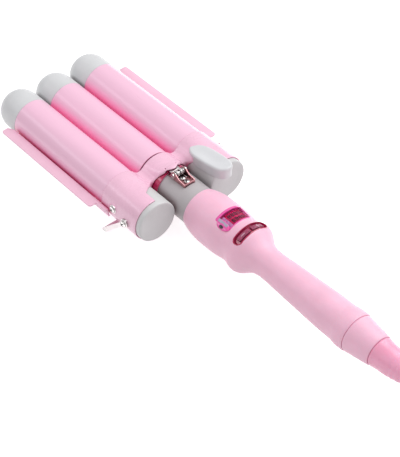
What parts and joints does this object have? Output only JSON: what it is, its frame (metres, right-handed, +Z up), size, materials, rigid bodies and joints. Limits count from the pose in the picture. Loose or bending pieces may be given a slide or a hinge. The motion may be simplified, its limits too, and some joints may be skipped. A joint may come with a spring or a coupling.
{
  "type": "three-barrel hair waver",
  "caption": "Electric hair waver: a sprung thumb-lever clamp of outer barrels over a middle barrel and trough plates, display handle, swivel cord boot and fold-down wire stand.",
  "frame": {"origin": "centre of the object's underside, level with the stand crossbar's flat foot", "axes": "+X to the barrel tips, +Y to the left side seen from the handle, +Z up, away from the stand's foot"},
  "size_m": [0.391, 0.1176, 0.0444],
  "materials": {
    "soft_pink": "satin moulded",
    "coated_pink": "ceramic coat",
    "gloss_pink": "satin gloss",
    "painted_pink": "satin paint",
    "cap_grey": "satin moulded",
    "lever_grey": "satin moulded",
    "neck_grey": "satin moulded",
    "bright_steel": "plated",
    "bracket_metal": "satin",
    "bezel_pink": "clear tinted",
    "lens_pink": "tinted",
    "display_dark": "dark",
    "recess_red": "gloss",
    "button_mauve": "fine texture",
    "boot_pink": "soft gloss",
    "spreader_aluminium": "extruded",
    "ceramic_white": "fired ceramic",
    "board_green": "solder mask",
    "switch_black": "moulded",
    "bush_white": "moulded",
    "contact_brass": "plain",
    "lead_red": "silicone"
  },
  "bodies": {
    "handle_unit": {"bracket_screws": "bright_steel", "brush_block": "switch_black", "button_panel": "recess_red", "clamp_spring": "bright_steel", "control_board": "board_green", "display_bezel": "bezel_pink", "display_window": "lens_pink", "handle_cover_screws": "bright_steel", "handle_shell": "soft_pink", "handle_underside_cover": "soft_pink", "heater_leads": "lead_red", "hinge_bracket": "bracket_metal", "hinge_pin": "bright_steel", "lcd_module": "display_dark", "left_trough_plate": "painted_pink", "middle_barrel": "coated_pink", "middle_ceramic_plate": "ceramic_white", "middle_heat_spreaders": "spreader_aluminium", "middle_tip_cap": "cap_grey", "neck_tube": "neck_grey", "power_lamp": "display_dark", "rear_collar": "soft_pink", "right_trough_plate": "painted_pink", "supply_leads": "lead_red", "swivel_bush": "bush_white", "tact_switches": "switch_black", "trough_screws": "bright_steel"},
    "clamp": {"yoke": "gloss_pink", "hinge_leaf": "bright_steel", "leaf_screws": "bright_steel", "thumb_lever": "lever_grey", "lever_screws": "bright_steel", "side_screws": "bright_steel", "stand_pivot_screws": "bright_steel", "stand_washers": "bright_steel", "left_barrel": "coated_pink", "right_barrel": "coated_pink", "left_tip_cap": "cap_grey", "right_tip_cap": "cap_grey", "left_rear_cap": "cap_grey", "right_rear_cap": "cap_grey", "left_heat_spreaders": "spreader_aluminium", "right_heat_spreaders": "spreader_aluminium", "left_ceramic_plate": "ceramic_white", "right_ceramic_plate": "ceramic_white"},
    "stand": {"stand_bail": "bright_steel"},
    "minus_button": {"minus_button": "button_mauve"},
    "plus_button": {"plus_button": "button_mauve"},
    "swivel": {"swivel_boot": "boot_pink", "slip_ring": "contact_brass"}
  },
  "joints": [
    {"name": "clamp_hinge", "type": "hinge", "parent": "handle_unit", "child": "clamp", "pos_m": [0.0352, 0, 0.0409], "axis": [0, -1, 0], "range_deg": [0, 11], "stiffness_Nm_per_rad": 1.2, "springref_deg": -28.65},
    {"name": "stand_swing", "type": "hinge", "parent": "clamp", "child": "stand", "pos_m": [0.0344, 0, 0.0244], "axis": [0, 1, 0], "range_deg": [0, 95]},
    {"name": "minus_press", "type": "slide", "parent": "handle_unit", "child": "minus_button", "axis": [0, -0.342, -0.9397], "range_m": [0, 0.0008], "stiffness_N_per_m": 400, "springref_m": -0.0005},
    {"name": "plus_press", "type": "slide", "parent": "handle_unit", "child": "plus_button", "axis": [0, 0.342, -0.9397], "range_m": [0, 0.0008], "stiffness_N_per_m": 400, "springref_m": -0.0005},
    {"name": "cord_swivel", "type": "hinge", "parent": "handle_unit", "child": "swivel", "pos_m": [-0.17, 0, 0.023], "axis": [1, 0, 0], "continuous": true}
  ]
}
